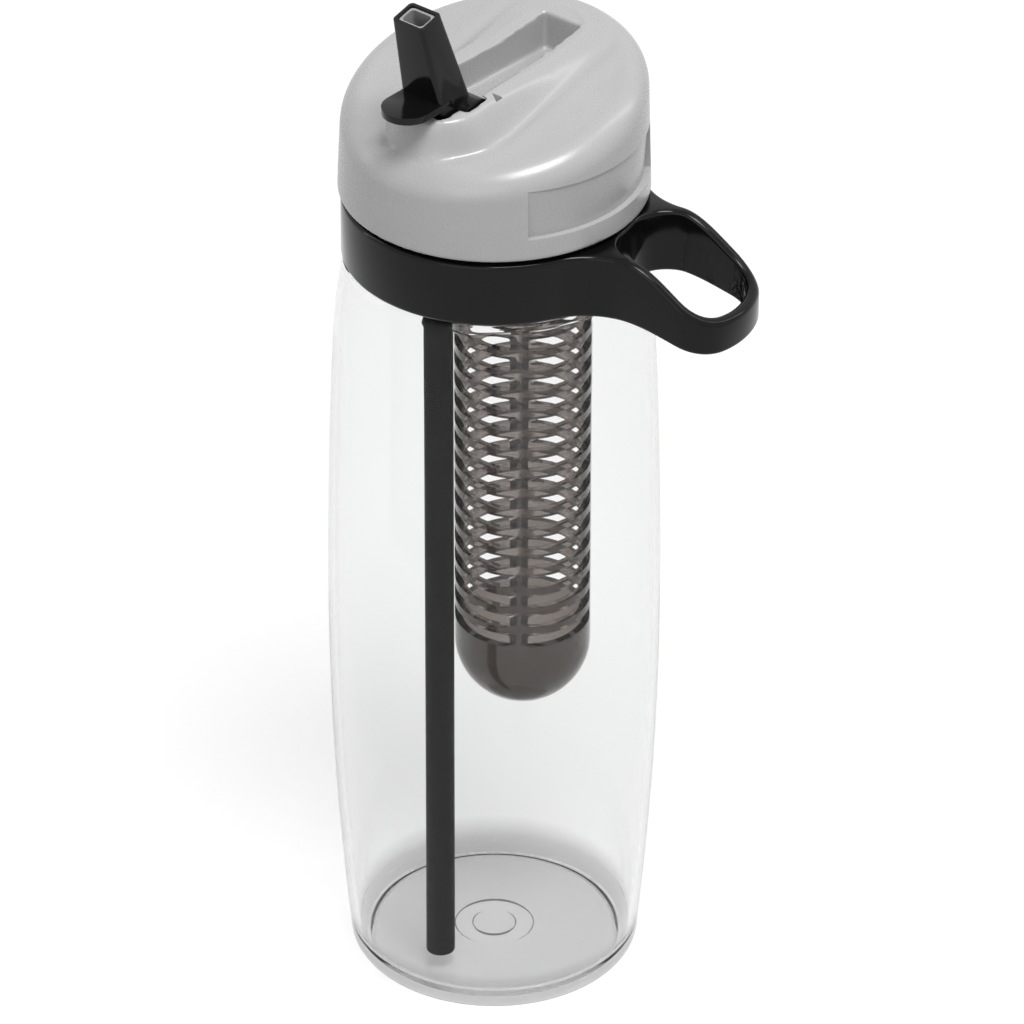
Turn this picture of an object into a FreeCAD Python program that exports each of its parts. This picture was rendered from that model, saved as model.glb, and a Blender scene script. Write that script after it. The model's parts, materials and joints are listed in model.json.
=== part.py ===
import FreeCAD, Part
import Sketcher
import math
import os

Vector = FreeCAD.Vector

doc = FreeCAD.newDocument("InfuserBottle")

# Driving sizes, in millimetres and degrees.
# The origin is the centre of the base on the floor, +Z is up and the spout folds back towards +Y.
sizes = {
    # bottle
    "neck_radius": 33.6,
    "neck_wall": 2.2,
    "neck_height": 35.1,
    "ledge_width": 3.4,
    "ledge_round": 1.5,
    "shoulder_flare": 2.55,
    "shoulder_rise": 21.9,
    "shoulder_arc": 138.0,
    "belly_flare": 1.9,
    "upper_height": 76.0,
    "belly_height": 104.0,
    "foot_taper": 4.9,
    "foot_height": 5.0,
    "foot_inset": 2.9,
    "foot_round": 5.0,
    "foot_inner_round": 4.0,
    "base_land": 1.2,
    "base_slope": 2.2,
    "base_rise": 1.6,
    "body_wall": 1.9,
    "floor_wall": 2.6,
    "gate_radius": 10.0,
    "gate_boss_radius": 5.5,
    "gate_depth": 0.9,
    "bead_depth": 0.5,
    "bead_height": 1.4,
    # screw thread between the neck and the lid
    "thread_lead": 5.0,
    "thread_depth": 1.4,
    "thread_root": 2.4,
    "thread_crest": 1.2,
    "thread_sink": 0.6,
    "thread_gap": 0.5,
    "thread_start": 21.5,
    "neck_turns": 2.0,
    "lid_turns": 1.0,
    # carry band
    "band_gap": 0.6,
    "band_seat_gap": 0.4,
    "band_wall": 3.2,
    "band_height": 16.9,
    "band_round_share": 0.4,
    "loop_length": 32.6,
    "loop_half_width": 15.4,
    "loop_wall": 3.0,
    "loop_corner": 10.8,
    "loop_end_arc": 25.0,
    "loop_root_arc": 18.0,
    "loop_hole_round": 9.0,
    "loop_level": 6.6,
    "loop_top_drop": 13.4,
    "loop_low_drop": 4.9,
    "loop_turn": 10.4,
    # lid cap
    "lid_gap": 1.4,
    "cap_wall": 2.6,
    "cap_draft": 0.8,
    "rim_round": 0.5,
    "gasket_height": 1.6,
    "gasket_gap": 0.3,
    "crown_rise": 2.79482,
    "crown_tilt": 12.4,
    "crown_round": 4.5,
    "ridge_rise": 15.4,
    "ridge_foot_rise": 1.4,
    "ridge_half_width": 16.3,
    "ridge_front": 35.1,
    "ridge_back": 30.0,
    "ridge_draft": 24.0,
    "recess_floor": 6.9,
    "recess_half_front": 7.0,
    "recess_half_back": 5.4,
    "recess_front_gap": 1.5,
    "recess_corner": 2.5,
    "recess_bend": 12.0,
    "recess_back": 25.5,
    "recess_step_place": 12.6,
    "recess_step": 0.6,
    "hollow_inner": 13.0,
    "hollow_width": 11.0,
    "hollow_half_length": 15.0,
    "hollow_wall": 1.9,
    "air_hole_radius": 0.6,
    "grip_low": 5.7,
    "grip_height": 12.9,
    "grip_depth": 1.2,
    "grip_half_angle": 37.6,
    "notch_place": 11.5,
    "notch_side": 3.2,
    "notch_depth": 2.4,
    # spout and its soft inner parts
    "pivot_forward": 17.2,
    "pivot_rise": 10.6,
    "drum_radius": 5.3,
    "drum_half": 9.0,
    "drum_gap": 0.4,
    "pin_radius": 2.2,
    "pin_length": 1.6,
    "pin_fit": 0.05,
    "spout_rise": 29.75,
    "spout_lean": 11.45,
    "mouth_tilt": 13.0,
    "mouth_width": 9.5,
    "mouth_depth": 7.5,
    "mouth_wall": 0.9,
    "spout_base_width": 13.2,
    "spout_base_depth": 11.4,
    "spout_base_forward": 3.0,
    "spout_base_rise": 0.6,
    "spout_base_wall": 1.6,
    "spout_bore_rise": 3.0,
    "spout_corner": 1.1,
    "port_radius": 2.2,
    "port_forward": 2.4,
    "tab_rise": 5.2,
    "tab_thickness": 1.8,
    "tab_radius": 6.3,
    "tab_reach": 15.0,
    "tab_root": 6.0,
    "tube_fit": 0.1,
    "tube_wall": 0.6,
    "tube_inset": 0.5,
    "seal_radius": 4.5,
    "seal_height": 6.0,
    "seal_gap": 0.3,
    "seal_fit": 0.1,
    # lid liner, vent and straw
    "liner_plate": 2.0,
    "liner_rim_gap": 0.4,
    "stem_radius": 3.3,
    "stem_wall": 0.9,
    "stem_length": 14.0,
    "vent_side": 17.0,
    "vent_forward": 12.0,
    "vent_disc_radius": 4.0,
    "vent_disc": 0.9,
    "vent_stem_radius": 1.2,
    "vent_bulb_radius": 1.8,
    "vent_bulb": 1.4,
    "vent_fit": 0.05,
    "vent_hole_radius": 0.7,
    "vent_hole_place": 2.6,
    "straw_radius": 3.6,
    "straw_wall": 0.9,
    "straw_forward": 21.0,
    "straw_floor_gap": 1.8,
    "straw_top_drop": 18.6,
    "sleeve_wall": 0.75,
    "sleeve_length": 36.6,
    "sleeve_fit": 0.05,
    # infuser basket
    "basket_radius": 17.1,
    "basket_wall": 1.8,
    "basket_length": 167.9,
    "basket_top_gap": 0.6,
    "basket_turn": -8.5,
    "slot_start": 23.9,
    "slot_height": 3.5,
    "slot_pitch": 5.75,
    "slot_half_width": 10.4,
    "lug_drop": 10.0,
    "lug_height": 2.0,
    "lug_depth": 1.1,
    "lug_half_width": 3.6,
    "entry_gap": 0.6,
    "entry_turn": 40.0,
    "collar_gap": 0.35,
    "collar_wall": 2.15,
    "collar_side_gap": 0.7,
    "collar_lip": 2.6,
    # run past a surface when cutting through it
    "overrun": 5.0,
}
slot_rows = 18
slot_columns = 4
lug_count = 2

# Sizes and places that follow from the driving sizes.
places = {
    "ledge_radius": "neck_radius + ledge_width",
    "shoulder_radius": "ledge_radius + shoulder_flare",
    "belly_radius": "shoulder_radius + belly_flare",
    "foot_radius": "belly_radius - foot_taper",
    "land_radius": "foot_radius - foot_inset",
    "lower_arc": "(foot_taper^2 + (belly_height - foot_height)^2) / (2 * foot_taper)",
    "upper_arc": "(belly_flare^2 + upper_height^2) / (2 * belly_flare)",
    "shoulder_z": "belly_height + upper_height",
    "ledge_z": "shoulder_z + shoulder_rise",
    "neck_top": "ledge_z + neck_height",
    "neck_bore": "neck_radius - neck_wall",
    "floor_z": "base_rise + floor_wall",
    "band_bore": "neck_radius + band_gap",
    "band_radius": "band_bore + band_wall",
    "band_z": "ledge_z + band_seat_gap",
    "band_top": "band_z + band_height",
    "bead_z": "band_top + band_seat_gap",
    "band_round": "loop_wall * band_round_share",
    "loop_reach": "band_radius + loop_length",
    "loop_end_x": "loop_reach - loop_end_arc",
    "loop_corner_y": "loop_half_width - loop_corner",
    "loop_corner_x": "loop_end_x + sqrt((loop_end_arc - loop_corner)^2 - loop_corner_y^2)",
    "loop_end_share": "loop_end_arc / (loop_end_arc - loop_corner)",
    "loop_tangent_x": "loop_end_x + (loop_corner_x - loop_end_x) * loop_end_share",
    "loop_tangent_y": "loop_corner_y * loop_end_share",
    "loop_inner_y": "loop_half_width - loop_wall",
    "loop_inner_corner": "loop_corner - loop_wall",
    "loop_inner_arc": "loop_end_arc - loop_wall",
    "loop_inner_share": "loop_inner_arc / (loop_end_arc - loop_corner)",
    "loop_inner_x": "loop_end_x + (loop_corner_x - loop_end_x) * loop_inner_share",
    "loop_inner_tangent_y": "loop_corner_y * loop_inner_share",
    "loop_hole_y": "loop_inner_y - loop_hole_round",
    "loop_hole_x": "sqrt((band_radius + loop_hole_round)^2 - loop_hole_y^2)",
    "loop_ring_share": "band_radius / (band_radius + loop_hole_round)",
    "loop_dip_x": "band_radius + loop_level",
    "loop_dip_length": "loop_length - loop_level",
    "loop_middle_x": "loop_dip_x + loop_dip_length / 2",
    "loop_top_arc": "(loop_dip_length^2 + loop_top_drop^2) / (4 * loop_top_drop)",
    "loop_low_arc": "(loop_dip_length^2 + loop_low_drop^2) / (4 * loop_low_drop)",
    "loop_root_y": "loop_half_width + loop_root_arc",
    "loop_waist_x": "sqrt((band_radius + loop_root_arc)^2 - loop_root_y^2)",
    "loop_touch_share": "band_radius / (band_radius + loop_root_arc)",
    "cap_bore": "neck_radius + thread_depth + thread_gap",
    "rim_radius": "cap_bore + cap_wall",
    "crown_radius": "rim_radius - cap_draft",
    "rim_z": "band_top + lid_gap",
    "land_z": "neck_top + gasket_height",
    "crown_z": "land_z + crown_rise + cap_bore * tan(crown_tilt)",
    "crown_half": "rim_radius + overrun",
    "hollow_z": "crown_z - hollow_wall",
    "crown_slope": "crown_half * tan(crown_tilt)",
    "ridge_z": "land_z + ridge_rise",
    "ridge_top_half": "ridge_half_width - (ridge_rise - ridge_foot_rise) * tan(ridge_draft)",
    "recess_z": "land_z + recess_floor",
    "recess_front": "pivot_forward + spout_base_forward + spout_base_depth / 2 + recess_front_gap",
    "recess_narrowing": "(recess_half_front - recess_half_back) / (recess_back + recess_bend)",
    "recess_step_half": "recess_half_front - recess_narrowing * (recess_step_place + recess_bend)",
    "pivot_z": "land_z + pivot_rise",
    "drum_bore": "drum_radius + drum_gap",
    "seal_forward": "pivot_forward + port_forward",
    "liner_radius": "neck_bore - liner_rim_gap",
    "liner_z": "land_z - liner_plate",
    "collar_bore": "basket_radius + collar_gap",
    "collar_radius": "collar_bore + collar_wall",
    "basket_back": "neck_bore - collar_side_gap - collar_radius",
    "liner_forward": "straw_forward + basket_back",
    "vent_y": "-(vent_forward + basket_back)",
    "straw_top": "liner_z - straw_top_drop",
    "straw_z": "floor_z + straw_floor_gap",
    "sleeve_bore": "straw_radius + sleeve_fit",
    "sleeve_radius": "sleeve_bore + sleeve_wall",
    "basket_top": "liner_z - basket_top_gap",
    "basket_z": "basket_top - basket_length",
    "lug_z": "basket_top - lug_drop",
    "lug_radius": "basket_radius + lug_depth",
    "lug_x": "sqrt(lug_radius^2 - lug_half_width^2)",
    "groove_radius": "lug_radius + collar_gap",
    "entry_half_width": "lug_half_width + entry_gap",
    "entry_x": "sqrt(groove_radius^2 - entry_half_width^2)",
    "collar_z": "lug_z - collar_gap - collar_lip",
}

size_sheet = doc.addObject("Spreadsheet::Sheet", "Sizes")
place_sheet = doc.addObject("Spreadsheet::Sheet", "Places")


def qualified(formula):
    words = ""
    word = ""
    for letter in formula + " ":
        if letter.isalnum() or letter == "_":
            word += letter
            continue
        if word in sizes:
            word = "Sizes." + word
        elif word in places:
            word = "Places." + word
        words += word + letter
        word = ""
    return words.strip()


for row, (name, number) in enumerate(sizes.items(), 1):
    size_sheet.set("A%d" % row, name)
    size_sheet.set("B%d" % row, str(number))
    size_sheet.setAlias("B%d" % row, name)
doc.recompute()
for row, (name, formula) in enumerate(places.items(), 1):
    place_sheet.set("A%d" % row, name)
    place_sheet.set("B%d" % row, "=" + qualified(formula))
    place_sheet.setAlias("B%d" % row, name)
    doc.recompute()


def value(formula):
    return float(size_sheet.evalExpression(qualified(str(formula))))


def bind(thing, path, formula):
    thing.setExpression(path, qualified(str(formula)))


def new_body(name):
    body = doc.addObject("PartDesign::Body", name)
    body.Label = name
    return body


def origin_feature(body, role):
    return next(feature for feature in body.Origin.OriginFeatures if feature.Role == role)


def arc_between(start, end, radius, side):
    # arc of a given radius from start to end that bulges to the right (1) or the left (-1) of the way
    chord = end - start
    middle = (start + end) * 0.5
    rise = math.sqrt(max(0, radius**2 - (chord.Length / 2) ** 2))
    normal = Vector(-chord.y, chord.x, 0).normalize()
    centre = middle + normal * rise * side
    first, last = (start, end) if side > 0 else (end, start)
    turn = [math.atan2(point.y - centre.y, point.x - centre.x) for point in (first, last)]
    if turn[1] < turn[0]:
        turn[1] += 2 * math.pi
    return Part.ArcOfCircle(Part.Circle(centre, Vector(0, 0, 1), radius), turn[0], turn[1])


def add_outline(sketch, corners):
    # corners: (x, y) or (x, y, radius, side), where the radius is that of the arc to the next corner
    points = [Vector(value(corner[0]), value(corner[1]), 0) for corner in corners]
    ends = []
    for index, corner in enumerate(corners):
        start = points[index]
        end = points[(index + 1) % len(points)]
        if len(corner) == 2:
            edge = sketch.addGeometry(Part.LineSegment(start, end), False)
            ends.append((edge, 1, 2))
        else:
            edge = sketch.addGeometry(arc_between(start, end, value(corner[2]), corner[3]), False)
            ends.append((edge, 1, 2) if corner[3] > 0 else (edge, 2, 1))
            held = sketch.addConstraint(Sketcher.Constraint("Radius", edge, value(corner[2])))
            bind(sketch, "Constraints[%d]" % held, corner[2])
    for index, (edge, first, last) in enumerate(ends):
        following = ends[(index + 1) % len(ends)]
        sketch.addConstraint(Sketcher.Constraint("Coincident", edge, last, following[0], following[1]))
    for (edge, first, last), corner, point in zip(ends, corners, points):
        for kind, formula, number, axis in (
            ("DistanceX", corner[0], point.x, -2),
            ("DistanceY", corner[1], point.y, -1),
        ):
            if str(formula) == "0":
                sketch.addConstraint(Sketcher.Constraint("PointOnObject", edge, first, axis))
                continue
            held = sketch.addConstraint(Sketcher.Constraint(kind, -1, 1, edge, first, number))
            bind(sketch, "Constraints[%d]" % held, formula)


def add_circle(sketch, x, y, radius):
    centre = Vector(value(x), value(y), 0)
    edge = sketch.addGeometry(Part.Circle(centre, Vector(0, 0, 1), value(radius)), False)
    for kind, formula, number, axis in (("DistanceX", x, centre.x, -2), ("DistanceY", y, centre.y, -1)):
        if str(formula) == "0":
            sketch.addConstraint(Sketcher.Constraint("PointOnObject", edge, 3, axis))
            continue
        held = sketch.addConstraint(Sketcher.Constraint(kind, -1, 1, edge, 3, number))
        bind(sketch, "Constraints[%d]" % held, formula)
    held = sketch.addConstraint(Sketcher.Constraint("Radius", edge, value(radius)))
    bind(sketch, "Constraints[%d]" % held, radius)


def new_sketch(body, name, role, height="0", turn="0"):
    # height: distance from the origin plane along that plane's normal; turn: angle about that normal
    sketch = body.newObject("Sketcher::SketchObject", name)
    sketch.AttachmentSupport = (origin_feature(body, role), "")
    sketch.MapMode = "FlatFace"
    if height != "0":
        bind(sketch, "AttachmentOffset.Base.z", height)
    if turn != "0":
        bind(sketch, "AttachmentOffset.Rotation.Angle", turn)
    return sketch


def outline(body, name, role, corners, height="0", turn="0"):
    sketch = new_sketch(body, name, role, height, turn)
    add_outline(sketch, corners)
    return sketch


def circles(body, name, role, rounds, height="0"):
    sketch = new_sketch(body, name, role, height)
    for x, y, radius in rounds:
        add_circle(sketch, x, y, radius)
    return sketch


def finish(feature, before):
    # a cut that points away from the solid takes nothing and shows no error
    doc.recompute()
    if feature.isDerivedFrom("PartDesign::FeatureSubtractive") and feature.Shape.Volume >= before:
        raise RuntimeError(feature.Name + " cuts nothing")
    return feature


def solid_volume(body):
    return body.Shape.Volume if body.Tip and not body.Shape.isNull() else 0


def turned(body, kind, name, corners):
    before = solid_volume(body)
    profile = outline(body, name + "_profile", "XZ_Plane", corners)
    feature = body.newObject("PartDesign::" + kind, name)
    feature.Profile = profile
    feature.ReferenceAxis = (profile, ["V_Axis"])
    feature.Angle = 360
    return finish(feature, before)


def extruded(body, kind, name, profile, length, flip=False, both_sides=False):
    before = solid_volume(body)
    feature = body.newObject("PartDesign::" + kind, name)
    feature.Profile = profile
    feature.Reversed = flip
    if both_sides:
        feature.SideType = "Symmetric"
    bind(feature, "Length", length)
    return finish(feature, before)


def lofted(body, kind, name, first, last):
    before = solid_volume(body)
    feature = body.newObject("PartDesign::" + kind, name)
    feature.Profile = first
    feature.Sections = [last]
    feature.Ruled = True
    return finish(feature, before)


def threaded(body, name, corners, turns):
    profile = outline(body, name + "_profile", "XZ_Plane", corners)
    feature = body.newObject("PartDesign::AdditiveHelix", name)
    feature.Profile = profile
    feature.ReferenceAxis = (profile, ["V_Axis"])
    feature.Mode = "pitch-turns-angle"
    bind(feature, "Pitch", "thread_lead")
    bind(feature, "Turns", turns)
    feature.HasBeenEdited = True
    return finish(feature, 0)


def repeat_round(body, name, feature, count):
    pattern = body.newObject("PartDesign::PolarPattern", name)
    pattern.Originals = [feature]
    pattern.Axis = (origin_feature(body, "Z_Axis"), [""])
    pattern.Angle = 360
    pattern.Occurrences = count
    body.Tip = pattern
    doc.recompute()
    return pattern


def rounded(body, name, feature, radius, wanted):
    names = ["Edge%d" % number for number, edge in enumerate(feature.Shape.Edges, 1) if wanted(edge)]
    fillet = body.newObject("PartDesign::Fillet", name)
    fillet.Base = (feature, names)
    bind(fillet, "Radius", radius)
    doc.recompute()
    return fillet


def upright(edge):
    box = edge.BoundBox
    return box.ZLength > 2 * (box.XLength + box.YLength)


def place(body, x="0", y="0", z="0", turn="0"):
    for path, formula in (("Base.x", x), ("Base.y", y), ("Base.z", z), ("Rotation.Angle", turn)):
        if formula != "0":
            bind(body, "Placement." + path, formula)
    parts.append(body)


parts = []


def make_bottle():
    body = new_body("bottle_body")
    inner_z = "ledge_z - body_wall"
    turned(body, "Revolution", "bottle_shell", [
        ("0", "base_rise"),
        ("gate_boss_radius", "base_rise"),
        ("gate_boss_radius", "base_rise + gate_depth"),
        ("gate_radius", "base_rise + gate_depth"),
        ("gate_radius", "base_rise"),
        ("land_radius - base_land - base_slope", "base_rise"),
        ("land_radius - base_land", "0"),
        ("land_radius", "0", "foot_round", 1),
        ("foot_radius", "foot_height", "lower_arc", 1),
        ("belly_radius", "belly_height", "upper_arc", 1),
        ("shoulder_radius", "shoulder_z", "shoulder_arc", 1),
        ("ledge_radius", "ledge_z - ledge_round", "ledge_round", 1),
        ("ledge_radius - ledge_round", "ledge_z"),
        ("neck_radius", "ledge_z"),
        ("neck_radius", "bead_z"),
        ("neck_radius + bead_depth", "bead_z + bead_height / 2"),
        ("neck_radius", "bead_z + bead_height"),
        ("neck_radius", "neck_top"),
        ("neck_bore", "neck_top"),
        ("neck_bore", inner_z),
        ("ledge_radius - body_wall - ledge_round", inner_z, "ledge_round", -1),
        ("ledge_radius - body_wall", inner_z + " - ledge_round", "shoulder_arc - body_wall", -1),
        ("shoulder_radius - body_wall", "shoulder_z", "upper_arc - body_wall", -1),
        ("belly_radius - body_wall", "belly_height", "lower_arc - body_wall", -1),
        ("foot_radius - body_wall", "floor_z + foot_inner_round", "foot_inner_round", -1),
        ("foot_radius - body_wall - foot_inner_round", "floor_z"),
        ("0", "floor_z"),
    ])
    middle = "ledge_z + thread_start"
    threaded(body, "neck_thread", [
        ("neck_radius - thread_sink", middle + " - thread_root / 2"),
        ("neck_radius + thread_depth", middle + " - thread_crest / 2"),
        ("neck_radius + thread_depth", middle + " + thread_crest / 2"),
        ("neck_radius - thread_sink", middle + " + thread_root / 2"),
    ], "neck_turns")
    place(body)


def make_band():
    body = new_body("carry_band")
    reach = "loop_reach + overrun"
    plan = outline(body, "loop_plan", "XY_Plane", [
        ("0", "-band_radius", "band_radius", 1),
        ("loop_waist_x * loop_touch_share", "-loop_root_y * loop_touch_share", "loop_root_arc", -1),
        ("loop_waist_x", "-loop_half_width"),
        ("loop_corner_x", "-loop_half_width", "loop_corner", 1),
        ("loop_tangent_x", "-loop_tangent_y", "loop_end_arc", 1),
        ("loop_tangent_x", "loop_tangent_y", "loop_corner", 1),
        ("loop_corner_x", "loop_half_width"),
        ("loop_waist_x", "loop_half_width", "loop_root_arc", -1),
        ("loop_waist_x * loop_touch_share", "loop_root_y * loop_touch_share", "band_radius", 1),
        ("0", "band_radius", "band_radius", 1),
        ("-band_radius", "0", "band_radius", 1),
    ], "band_z - loop_length")
    add_outline(plan, [
        ("loop_hole_x * loop_ring_share", "-loop_hole_y * loop_ring_share", "loop_hole_round", 1),
        ("loop_hole_x", "-loop_inner_y"),
        ("loop_corner_x", "-loop_inner_y", "loop_inner_corner", 1),
        ("loop_inner_x", "-loop_inner_tangent_y", "loop_inner_arc", 1),
        ("loop_inner_x", "loop_inner_tangent_y", "loop_inner_corner", 1),
        ("loop_corner_x", "loop_inner_y"),
        ("loop_hole_x", "loop_inner_y", "loop_hole_round", 1),
        ("loop_hole_x * loop_ring_share", "loop_hole_y * loop_ring_share", "band_radius", -1),
    ])
    extruded(body, "Pad", "band_block", plan, "band_height + loop_length")
    over = outline(body, "loop_above", "XZ_Plane", [
        ("loop_dip_x", "band_top", "loop_top_arc", -1),
        ("loop_middle_x", "band_top - loop_top_drop / 2", "loop_top_arc", 1),
        ("loop_reach", "band_top - loop_top_drop"),
        (reach, "band_top - loop_top_drop"),
        (reach, "band_top + overrun"),
        ("loop_dip_x", "band_top + overrun"),
    ])
    extruded(body, "Pocket", "loop_top_cut", over, "2 * band_radius + overrun", both_sides=True)
    under = outline(body, "loop_below", "XZ_Plane", [
        ("loop_dip_x", "band_z"),
        ("-band_radius - overrun", "band_z"),
        ("-band_radius - overrun", "band_z - loop_length - overrun"),
        (reach, "band_z - loop_length - overrun"),
        (reach, "band_z - loop_low_drop"),
        ("loop_reach", "band_z - loop_low_drop", "loop_low_arc", -1),
        ("loop_middle_x", "band_z - loop_low_drop / 2", "loop_low_arc", 1),
    ])
    sloped = extruded(body, "Pocket", "loop_low_cut", under, "2 * band_radius + overrun", both_sides=True)
    rounded(body, "band_soft", sloped, "band_round", lambda edge: not upright(edge))
    hole = circles(body, "neck_way", "XY_Plane", [("0", "0", "band_bore")], "band_top + overrun")
    extruded(body, "Pocket", "neck_way_cut", hole, "band_height + 2 * overrun")
    place(body, turn="loop_turn")


def make_cap():
    body = new_body("lid_cap")
    turned(body, "Revolution", "cap_block", [
        ("0", "land_z"),
        ("cap_bore", "land_z"),
        ("cap_bore", "rim_z"),
        ("rim_radius - rim_round", "rim_z", "rim_round", 1),
        ("rim_radius", "rim_z + rim_round"),
        ("crown_radius", "crown_z + crown_slope"),
        ("0", "crown_z + crown_slope"),
    ])
    over = outline(body, "crown_side", "YZ_Plane", [
        ("-crown_half", "crown_z - crown_slope"),
        ("crown_half", "crown_z + crown_slope"),
        ("crown_half", "crown_z + crown_slope + overrun"),
        ("-crown_half", "crown_z + crown_slope + overrun"),
    ])
    crown = extruded(body, "Pocket", "crown_cut", over, "4 * crown_half", both_sides=True)
    low = value("crown_z - crown_slope")
    rounded(body, "crown_soft", crown, "crown_round", lambda edge: edge.BoundBox.ZMin > low)
    ridge_plan = outline(body, "ridge_plan", "XY_Plane", [
        ("-ridge_half_width", "ridge_half_width - ridge_front", "ridge_half_width", 1),
        ("0", "-ridge_front", "ridge_half_width", 1),
        ("ridge_half_width", "ridge_half_width - ridge_front"),
        ("ridge_half_width", "ridge_back"),
        ("-ridge_half_width", "ridge_back"),
    ], "land_z + ridge_foot_rise")
    ridge = extruded(body, "Pad", "ridge", ridge_plan, "ridge_rise - ridge_foot_rise")
    bind(ridge, "TaperAngle", "-ridge_draft")
    doc.recompute()
    recess_plan = outline(body, "recess_plan", "XY_Plane", [
        ("-recess_half_front", "recess_corner - recess_front", "recess_corner", 1),
        ("recess_corner - recess_half_front", "-recess_front"),
        ("recess_half_front - recess_corner", "-recess_front", "recess_corner", 1),
        ("recess_half_front", "recess_corner - recess_front"),
        ("recess_half_front", "-recess_bend"),
        ("recess_step_half", "recess_step_place"),
        ("recess_step_half + recess_step", "recess_step_place"),
        ("recess_half_back + recess_step", "recess_back"),
        ("-recess_half_back", "recess_back"),
        ("-recess_half_front", "-recess_bend"),
    ], "ridge_z + overrun")
    extruded(body, "Pocket", "recess", recess_plan, "ridge_rise + overrun - recess_floor")
    drum = circles(body, "drum_side", "YZ_Plane", [("-pivot_forward", "pivot_z", "drum_bore")])
    extruded(body, "Pocket", "drum_way", drum, "2 * (drum_half + drum_gap)", both_sides=True)
    pins = circles(body, "pin_side", "YZ_Plane", [("-pivot_forward", "pivot_z", "pin_radius + pin_fit")])
    extruded(body, "Pocket", "pin_holes", pins, "2 * (drum_half + pin_length + drum_gap)", both_sides=True)
    seat = circles(body, "seal_plan", "XY_Plane", [("0", "-seal_forward", "seal_radius + seal_fit")], "land_z")
    extruded(body, "Pocket", "seal_seat", seat, "seal_height + seal_fit", flip=True)
    for side, sign in (("right", ""), ("left", "-")):
        hollow = outline(body, "hollow_side_" + side, "YZ_Plane", [
            ("-hollow_half_length", "land_z"),
            ("hollow_half_length", "land_z"),
            ("hollow_half_length", "hollow_z + hollow_half_length * tan(crown_tilt)"),
            ("-hollow_half_length", "hollow_z - hollow_half_length * tan(crown_tilt)"),
        ], sign + "hollow_inner")
        extruded(body, "Pocket", "hollow_" + side, hollow, "hollow_width", flip=side == "right")
    air = circles(body, "air_side", "YZ_Plane", [("0", "recess_z + 2 * air_hole_radius", "air_hole_radius")])
    extruded(body, "Pocket", "air_hole", air, "hollow_inner + air_hole_radius", flip=True)
    notch_plan = new_sketch(body, "notch_plan", "XY_Plane", "ridge_z + overrun")
    for side in ("", "-"):
        add_outline(notch_plan, [
            (side + "(ridge_top_half - notch_side / 2)", "-notch_place"),
            (side + "(ridge_top_half + notch_side / 2)", "-notch_place - notch_side / 2"),
            (side + "(ridge_top_half + notch_side / 2)", "-notch_place + notch_side / 2"),
        ])
    extruded(body, "Pocket", "notches", notch_plan, "notch_depth + overrun")
    before = solid_volume(body)
    grip_profile = outline(body, "grip_profile", "XZ_Plane", [
        ("rim_radius - grip_depth", "rim_z + grip_low"),
        ("rim_radius + overrun", "rim_z + grip_low"),
        ("rim_radius + overrun", "rim_z + grip_low + grip_height"),
        ("rim_radius - grip_depth", "rim_z + grip_low + grip_height"),
    ])
    grip = body.newObject("PartDesign::Groove", "grip")
    grip.Profile = grip_profile
    grip.ReferenceAxis = (grip_profile, ["V_Axis"])
    grip.Midplane = True
    bind(grip, "Angle", "2 * grip_half_angle")
    finish(grip, before)
    repeat_round(body, "grips", grip, 2)
    middle = "ledge_z + thread_start + thread_lead / 2"
    threaded(body, "lid_thread", [
        ("cap_bore - thread_depth", middle + " - thread_crest / 2"),
        ("cap_bore + thread_sink", middle + " - thread_root / 2"),
        ("cap_bore + thread_sink", middle + " + thread_root / 2"),
        ("cap_bore - thread_depth", middle + " + thread_crest / 2"),
    ], "lid_turns")
    place(body)


def soft_rectangle(half_width, half_depth, middle):
    # rectangle about (0, middle) with the spout's corner rounding
    side = half_width + " - spout_corner"
    low = middle + " - " + half_depth
    high = middle + " + " + half_depth
    return [
        ("-(" + side + ")", low),
        (side, low, "spout_corner", 1),
        (half_width, low + " + spout_corner"),
        (half_width, high + " - spout_corner", "spout_corner", 1),
        (side, high),
        ("-(" + side + ")", high, "spout_corner", 1),
        ("-" + half_width, high + " - spout_corner"),
        ("-" + half_width, low + " + spout_corner", "spout_corner", 1),
    ]


def mouth_sketch(body, name, inset, drop):
    # section at the mouth, smaller by the inset all round and lower by the drop along the mouth's own axis
    sketch = new_sketch(body, name, "XY_Plane")
    sketch.AttachmentOffset.Rotation = FreeCAD.Rotation(Vector(1, 0, 0), sizes["mouth_tilt"])
    bind(sketch, "AttachmentOffset.Rotation.Angle", "mouth_tilt")
    bind(sketch, "AttachmentOffset.Base.y", "-spout_lean + (" + drop + ") * sin(mouth_tilt)")
    bind(sketch, "AttachmentOffset.Base.z", "spout_rise - (" + drop + ") * cos(mouth_tilt)")
    half_width = "(mouth_width / 2 - (" + inset + "))"
    half_depth = "(mouth_depth / 2 - (" + inset + "))"
    add_outline(sketch, soft_rectangle(half_width, half_depth, "0"))
    return sketch


def base_sketch(body, name, inset, height):
    half_width = "(spout_base_width / 2 - (" + inset + "))"
    half_depth = "(spout_base_depth / 2 - (" + inset + "))"
    corners = soft_rectangle(half_width, half_depth, "-spout_base_forward")
    return outline(body, name, "XY_Plane", corners, height)


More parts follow.
